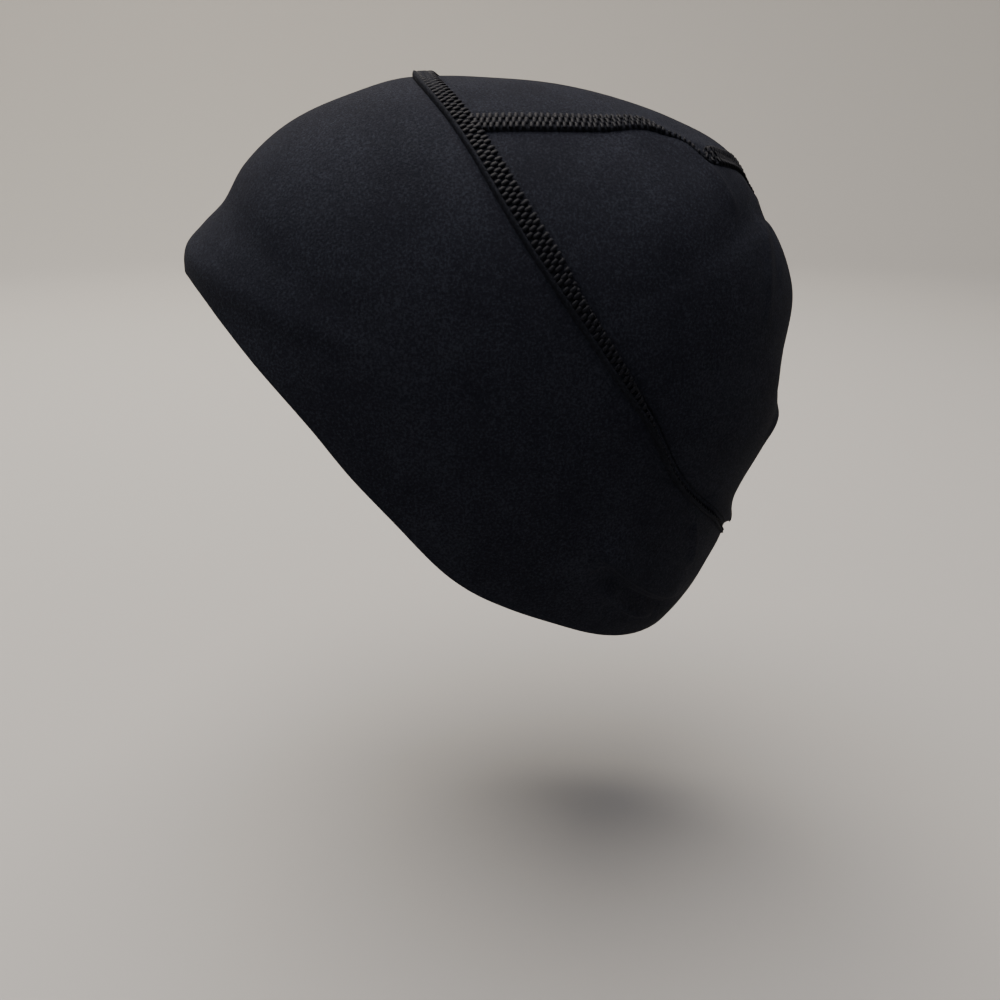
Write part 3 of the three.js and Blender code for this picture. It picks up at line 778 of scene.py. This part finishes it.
def thread_lane(line, start, end, lane, stitch, side, sink, looped):
    """Covering stitches of one lane. Over the top the offset runs across as -cos(pi t) with an arch of
    sin(pi t) to a power, slanted along the seam; then the thread comes back under the cloth.
    Returns the path and its outward directions."""
    stitches = int(round(even_places(line, start, end, 0)[1] / stitch["pitch"]))
    over = np.linspace(0, 1, OVER_POINTS)
    under = np.linspace(0, 1, UNDER_POINTS + 2)[1:-1]
    swing = np.concatenate([-np.cos(np.pi * over), 1 - 2 * under])
    below = -UNDER_START - UNDER_SAG * np.sin(np.pi * under)
    arch = np.concatenate([np.sin(np.pi * over) ** ARCH_POWER, below])
    slant = lane["slant"]
    way = np.concatenate([slant * over, slant + (1 - slant) * under])
    play = np.random.default_rng(THREAD_SEED).uniform(-SPACING_PLAY, SPACING_PLAY, stitches)
    number = (np.arange(stitches) + play)[:, None]
    share = ((number + way + lane["shift"]) / stitches).ravel()
    if looped:
        turns = np.floor(share)
        along = even_places(line, start, end, share - turns)[0] + turns * (end - start)
    else:
        along = even_places(line, start, end, np.clip(share, 0, 1))[0]
    out = lane["middle"] + lane["half"] * np.tile(swing, stitches)
    arch = np.tile(arch, stitches)
    lift = BED + np.where(arch > 0, ARCH_LIFT * stitch["high"], DIVE) * arch - sink(along, out)
    path = seam_surface(line, along, side * out * SEAM_WIDTH / 2, lift)
    return path, unit(path)


def thread_rings(path, outward, stitch, looped):
    """Flat oval profile, as soft bulked thread lies, carried along a path."""
    ahead, behind = np.roll(path, -1, axis=0), np.roll(path, 1, axis=0)
    if not looped:
        ahead[-1], behind[0] = path[-1], path[0]
    forward = unit(ahead - behind)
    side = unit(np.cross(forward, outward))
    up = np.cross(side, forward)
    angle = (2 * np.pi * (np.arange(THREAD_SIDES) + 0.5) / THREAD_SIDES)[None, :, None]
    wide = stitch["wide"] * np.cos(angle) * side[:, None]
    return path[:, None] + wide + stitch["high"] * np.sin(angle) * up[:, None]


def make_stitches(name, line, start, end, lanes, stitch, side, sink, looped):
    """One thread in each lane, joined into one piece."""
    parts = []
    for index in range(len(lanes["middle"])):
        lane = {column: lanes[column][index] for column in lanes}
        path, outward = thread_lane(line, start, end, lane, stitch, side, sink, looped)
        rings = thread_rings(path, outward, stitch, looped)
        parts.append(ring_mesh(f"{name}_{index}", rings, flat_places(rings, looped), looped))
    with bpy.context.temp_override(
        active_object=parts[0], selected_editable_objects=parts, selected_objects=parts
    ):
        bpy.ops.object.join()
    parts[0].name = name
    return parts[0]


THREAD_START = 0.014
THREAD_END = 0.972
band_thread = make_stitches(
    "band_seam_stitches", band_seam_line, 0, 1, BAND_LANES, BAND_STITCH, 1, overhang_sink, True
)
left_thread, right_thread = (
    make_stitches(
        f"crown_seam_stitches_{name}", crown_seam_line(side), THREAD_START, THREAD_END,
        CROWN_LANES, CROWN_STITCH, side, sink, False,
    )
    for name, side, sink in (("l", 1, fold_sink), ("r", -1, rear_sink))
)
print("threads:", [len(p.data.polygons) for p in (band_thread, left_thread, right_thread)], "faces")

# %% [markdown]
# The cap has three finishes: the jersey, the same jersey lapped in the seams, and the thread.
# Image textures would bind them to one view and one size, so all three are made of nodes.
# Colours are written as sRGB hex values and turned linear by one function, and one small function
# adds a node with its settings and links.


# %% Material tools
def linear(hex_colour):
    """sRGB hex value as linear red, green, blue and alpha."""
    values = np.array([int(hex_colour[i : i + 2], 16) for i in (1, 3, 5)]) / 255
    low, high = values / 12.92, ((values + 0.055) / 1.055) ** 2.4
    return (*np.where(values <= 0.04045, low, high), 1.0)


def new_material(name):
    """Empty node material with its output and a Principled shader."""
    material = bpy.data.materials.new(name)
    material.use_nodes = True
    material.node_tree.nodes.clear()
    output = add_node(material, "ShaderNodeOutputMaterial")
    shader = add_node(material, "ShaderNodeBsdfPrincipled")
    material.node_tree.links.new(shader.outputs["BSDF"], output.inputs["Surface"])
    return material, shader


def add_node(material, kind, settings=None, links=None, **values):
    """Adds a node: settings are its attributes, values its sockets, links its incoming sockets."""
    node = material.node_tree.nodes.new(kind)
    for name, value in (settings or {}).items():
        setattr(node, name, value)
    for name, value in values.items():
        node.inputs[name.replace("_", " ")].default_value = value
    for name, socket in (links or {}).items():
        material.node_tree.links.new(socket, node.inputs[name])
    return node


# %% [markdown]
# The jersey is a fine weft knit of matt polyester with elastane, dyed nearly black.
# Its loops scatter the light, so it has hardly any gloss, and its dye drifts from blue-black to grey.
# One flat colour would look like rubber. Noise at the size of the loops gives the grain, wider
# noise gives the drift, and a wave across the cut cloth gives the faint ribs of the knit.

# %% Jersey
WALE_WIDTH = 1.1 * MM
LOOP_SIZE = 0.8 * MM
LOOP_RELIEF = 0.1 * MM
LOOP_HEIGHT = 4.0
DRIFT_SIZE = 22 * MM
DRIFT_SHARE = 0.35
RIB_DRIFT = 4 * MM
HUE_PLACES = (0.5, 0.68, 0.86)


def make_jersey(name, hues):
    """Matt stretch jersey. Fine loops give a grain with a faint rib along the wales; they are drawn
    coarser than the real 0.4 mm so that they show. The hues run from the darkest to the lightest."""
    material, shader = new_material(name)
    link = material.node_tree.links.new
    place = add_node(material, "ShaderNodeUVMap", {"uv_map": "cut"})
    solid = add_node(material, "ShaderNodeTexCoord")
    cloud = add_node(
        material, "ShaderNodeTexNoise", links={"Vector": solid.outputs["Object"]},
        Scale=1 / DRIFT_SIZE, Detail=3.0, Roughness=0.6,
    )
    speck = add_node(
        material, "ShaderNodeTexNoise", links={"Vector": solid.outputs["Object"]},
        Scale=1 / LOOP_SIZE, Detail=2.0, Roughness=0.7,
    )
    blend = add_node(
        material, "ShaderNodeMath", {"operation": "MULTIPLY_ADD"},
        {0: cloud.outputs["Fac"], 2: speck.outputs["Fac"]},
    )
    blend.inputs[1].default_value = DRIFT_SHARE
    ramp = add_node(material, "ShaderNodeValToRGB", links={"Fac": blend.outputs["Value"]})
    ramp.color_ramp.elements.new(HUE_PLACES[1])
    for element, position, hue in zip(ramp.color_ramp.elements, HUE_PLACES, hues):
        element.position = position
        element.color = linear(hue)
    link(ramp.outputs["Color"], shader.inputs["Base Color"])
    wales = add_node(
        material, "ShaderNodeTexWave", {"wave_type": "BANDS", "bands_direction": "X"},
        {"Vector": place.outputs["UV"]}, Scale=np.pi / 10 / WALE_WIDTH, Distortion=6.0, Detail=2.0,
        Detail_Scale=1 / RIB_DRIFT,
    )
    height = add_node(
        material, "ShaderNodeMath", {"operation": "MULTIPLY_ADD"},
        {0: speck.outputs["Fac"], 2: wales.outputs["Fac"]},
    )
    height.inputs[1].default_value = LOOP_HEIGHT
    bump = add_node(
        material, "ShaderNodeBump", links={"Height": height.outputs["Value"]},
        Strength=0.45, Distance=LOOP_RELIEF,
    )
    link(bump.outputs["Normal"], shader.inputs["Normal"])
    shader.inputs["Roughness"].default_value = 0.85
    shader.inputs["Specular IOR Level"].default_value = 0.06
    return material


jersey = make_jersey("polyester_elastane_jersey", ("#14161e", "#1b1d25", "#262932"))
print("finish of the panels:", jersey.name)

# %% [markdown]
# Textured polyester thread is a loose bundle of crimped filaments, darker than the jersey and with a
# slight gloss on each loop. In one plain colour the loops would melt together.
# Fine noise along the thread stands for the filaments, in colour and as bump.

# %% Seam thread
FILAMENT_SIZE = 0.5 * MM
FILAMENT_RELIEF = 0.05 * MM


def make_thread(name, dark, light):
    """Textured polyester overlock thread: matt filaments with a slight gloss on each loop."""
    material, shader = new_material(name)
    place = add_node(material, "ShaderNodeUVMap", {"uv_map": "cut"})
    twist = add_node(
        material, "ShaderNodeTexNoise", links={"Vector": place.outputs["UV"]},
        Scale=1 / FILAMENT_SIZE, Detail=2.0,
    )
    ramp = add_node(material, "ShaderNodeValToRGB", links={"Fac": twist.outputs["Fac"]})
    ramp.color_ramp.elements[0].color = linear(dark)
    ramp.color_ramp.elements[1].color = linear(light)
    material.node_tree.links.new(ramp.outputs["Color"], shader.inputs["Base Color"])
    bump = add_node(
        material, "ShaderNodeBump", links={"Height": twist.outputs["Fac"]},
        Strength=0.4, Distance=FILAMENT_RELIEF,
    )
    material.node_tree.links.new(bump.outputs["Normal"], shader.inputs["Normal"])
    shader.inputs["Roughness"].default_value = 0.6
    shader.inputs["Specular IOR Level"].default_value = 0.12
    return material


thread = make_thread("textured_polyester_thread", "#07080e", "#10121a")
tape_jersey = make_jersey("jersey_seam_allowance", ("#121419", "#181a20", "#20222a"))
print("finishes of the seams:", thread.name, "and", tape_jersey.name)

# %% [markdown]
# Each piece takes the place of its solid and moves with the one rigid body.
# The tape and the thread of a seam stand for the same solid.
# The solids could be hidden by hand; here the same loop hides each piece's solid.

# %% Dressing the frame
DRESSED = [
    (band, "band", jersey, "jersey"),
    (crown_centre, "crown_centre", jersey, "jersey"),
    (crown_left, "crown_side_left", jersey, "jersey"),
    (crown_right, "crown_side_right", jersey, "jersey"),
    (band_tape, "band_seam", tape_jersey, "jersey"),
    (left_tape, "crown_seam_left", tape_jersey, "jersey"),
    (right_tape, "crown_seam_right", tape_jersey, "jersey"),
    (band_thread, "band_seam", thread, "seam_thread"),
    (left_thread, "crown_seam_left", thread, "seam_thread"),
    (right_thread, "crown_seam_right", thread, "seam_thread"),
]
for piece, node, material, slot in DRESSED:
    piece.data.materials.clear()
    piece.data.materials.append(material)
    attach(piece, "root")
    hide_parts(node)
print(len(DRESSED), "pieces dress", len(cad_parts), "solids")

# %% [markdown]
# Only the worn area of each cloth piece is printed here; each piece was cut smaller, before it was stretched.
# Worn, the jersey gives about a tenth round the cap and little over its height, so each piece was
# cut about a ninth smaller in area. The cut pieces are curved and fill a share of the rectangle
# round them.

# %% Worn areas of the cloth pieces, in square metres
print("worn areas:", round(band_area, 4), round(centre_area, 4), round(side_area, 4), "square metres")

# %% [markdown]
# The stage is a plain pale floor that turns up into a wall all round, as in a photographer's cove,
# so no horizon cuts through any view. Two planes would be simpler, but their corner would show.

# %% Floor
FLOOR_LEVEL = -0.279
FLOOR_RADIUS = 1.7
COVE_RADIUS = 0.9
WALL_RISE = 1.3
STAGE_SPOKES = 96
COVE_STEPS = 16
FLAT_RINGS = (0.01, 0.6, 1.2)


def make_floor():
    """A disc, a quarter round and a wall, as one profile turned about the upright axis."""
    bend = np.linspace(0, np.pi / 2, COVE_STEPS)
    radius = np.concatenate([FLAT_RINGS, FLOOR_RADIUS + COVE_RADIUS * np.sin(bend)])
    rise = np.concatenate([np.zeros(len(FLAT_RINGS)), COVE_RADIUS * (1 - np.cos(bend))])
    radius = np.append(radius, radius[-1])
    rise = np.append(rise, rise[-1] + WALL_RISE)
    spoke = 2 * np.pi * np.arange(STAGE_SPOKES)[:, None] / STAGE_SPOKES
    height = FLOOR_LEVEL + rise + 0 * spoke
    points = np.stack([radius * np.cos(spoke), radius * np.sin(spoke), height], axis=-1)
    rows = len(radius)
    spokes, step = np.meshgrid(np.arange(STAGE_SPOKES), np.arange(rows - 1), indexing="ij")
    here = spokes * rows + step
    after = (spokes + 1) % STAGE_SPOKES * rows + step
    quads = np.stack([here, here + 1, after + 1, after], axis=-1)
    hub = (np.arange(STAGE_SPOKES)[::-1] * rows).tolist()
    mesh = bpy.data.meshes.new("floor")
    mesh.from_pydata(points.reshape(-1, 3).tolist(), [], quads[..., ::-1].reshape(-1, 4).tolist() + [hub])
    mesh.shade_smooth()
    floor = bpy.data.objects.new("floor", mesh)
    bpy.context.collection.objects.link(floor)
    material, shader = new_material("pale_matt_paint")
    shader.inputs["Base Color"].default_value = linear("#9b9a98")
    shader.inputs["Roughness"].default_value = 0.9
    mesh.materials.append(material)


make_floor()
print("floor", round(-FLOOR_LEVEL / MM), "mm below the top of the cap")

# %% [markdown]
# A large lamp overhead and a little ahead of the brow gives the cloth its light top and dark sides.
# A weak lamp fills the side, a third lights the wall behind, and the world adds cool room light.
# A picture of a room as the world would do too, but three lamps are plain to read and to change.

# %% Lights
CAP_MIDDLE = (0.0, 0.01, -0.08)
WALL_MIDDLE = (-2.4, -0.3, 0.3)


def make_light(name, place, aim, size, power, colour):
    """Soft square light at a place, turned towards another."""
    data = bpy.data.lights.new(name, "AREA")
    data.size = size
    data.energy = power
    data.color = linear(colour)[:3]
    light = bpy.data.objects.new(name, data)
    light.location = place
    light.rotation_euler = (Vector(aim) - Vector(place)).to_track_quat("-Z", "Y").to_euler()
    bpy.context.collection.objects.link(light)


make_light("ceiling_softbox", (-0.12, -0.28, 1.5), CAP_MIDDLE, 1.8, 76, "#fff6ec")
make_light("side_softbox", (1.5, -1.0, 0.8), CAP_MIDDLE, 1.2, 1, "#eef3ff")
make_light("wall_softbox", (-0.9, -0.5, 1.5), WALL_MIDDLE, 1.0, 42, "#fff3df")

world = bpy.data.worlds.new("pale_room")
world.use_nodes = True
background = world.node_tree.nodes["Background"]
background.inputs["Color"].default_value = linear("#a9b8dc")
background.inputs["Strength"].default_value = 0.36
bpy.context.scene.world = world
print("lamps:", len(bpy.data.lights))

# %% [markdown]
# The camera stands to the wearer's left, level with the top of the cap, and looks down a little.
# It is near and wide, as a hand-held one is. A longer lens would show a flatter, taller crown.

# %% Camera
CAMERA_PLACE = (0.356, 0.025, -0.009)
CAMERA_PITCH = 21.2
CAMERA_LENS = 36
CAMERA_SENSOR = 36

camera_data = bpy.data.cameras.new("camera")
camera_data.lens = CAMERA_LENS
camera_data.sensor_width = CAMERA_SENSOR
camera_data.clip_start = 0.01
camera = bpy.data.objects.new("camera", camera_data)
camera.location = CAMERA_PLACE
camera.rotation_euler = (np.radians(90 - CAMERA_PITCH), 0, np.radians(90))
bpy.context.collection.objects.link(camera)
bpy.context.scene.camera = camera
print("view of", round(float(np.degrees(camera_data.angle))), "degrees")
